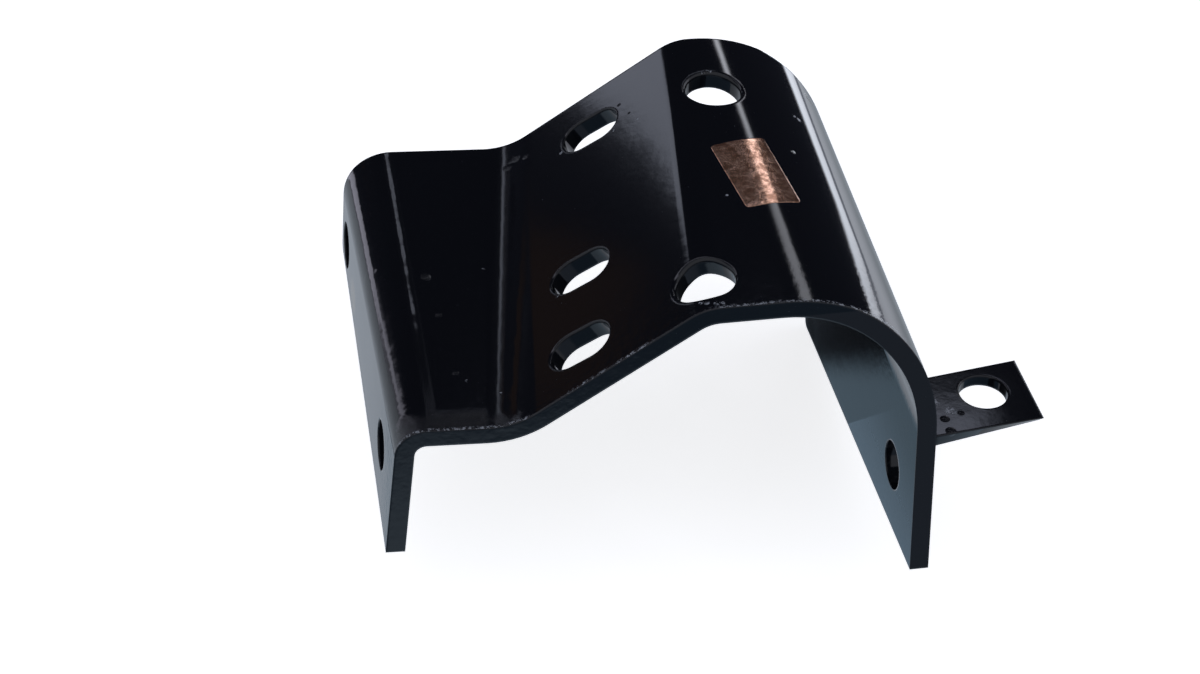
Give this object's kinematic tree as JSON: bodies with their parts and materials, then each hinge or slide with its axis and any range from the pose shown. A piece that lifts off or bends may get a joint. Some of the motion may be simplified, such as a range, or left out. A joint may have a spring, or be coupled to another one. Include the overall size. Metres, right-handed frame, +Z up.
{
  "type": "stamped metal bracket",
  "caption": "Black-painted folded plate bracket with a raised ramped crown, oblong slots, bolt holes, unequal legs and a small drilled side tab.",
  "frame": {"origin": "on the axis of the rear hole in the level top, at half the plate's thickness", "axes": "+Z is up, square to the level top; +X runs from the short left leg to the long right leg; +Y runs to the back, along the legs' folds"},
  "size_m": [0.2034, 0.1595, 0.1095],
  "materials": {
    "plate_paint": "gloss",
    "tab_paint": "gloss",
    "copper_foil": "satin"
  },
  "bodies": {
    "root": {"bracket_plate": "plate_paint", "side_tab": "tab_paint", "foil_patch": "copper_foil"}
  },
  "joints": []
}
